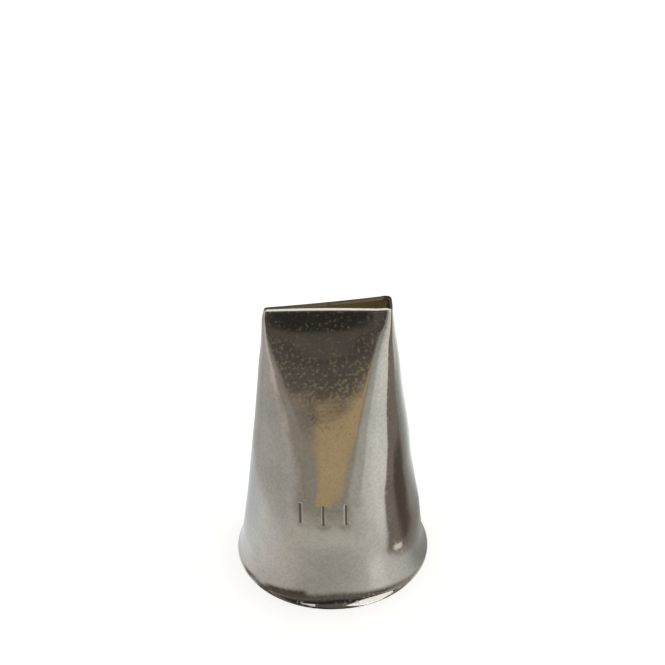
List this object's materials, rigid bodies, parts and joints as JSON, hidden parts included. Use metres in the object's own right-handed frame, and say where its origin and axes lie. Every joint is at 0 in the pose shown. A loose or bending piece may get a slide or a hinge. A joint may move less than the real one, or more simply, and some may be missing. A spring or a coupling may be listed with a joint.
{
  "type": "piping nozzle",
  "caption": "Large petal piping nozzle: a thin steel cone with a flared round rim, pressed flat at the top into a slit mouth that is narrow at one end and wide at the other.",
  "frame": {"origin": "middle of the rim, on the plane that the nozzle stands on", "axes": "+Z from the rim up to the mouth, +X towards the wide end of the mouth, -Y out of the stamped front; the seam weld is on the +Y side"},
  "size_m": [0.03, 0.0296, 0.05],
  "materials": {
    "stainless_sheet": "pressed stainless sheet, tumbled to a soft shine with a fine grain",
    "weld": "dressed seam weld, flush outside, slightly duller than the sheet"
  },
  "bodies": {
    "root": {"nozzle_shell": "stainless_sheet", "seam_weld": "weld"}
  },
  "joints": []
}
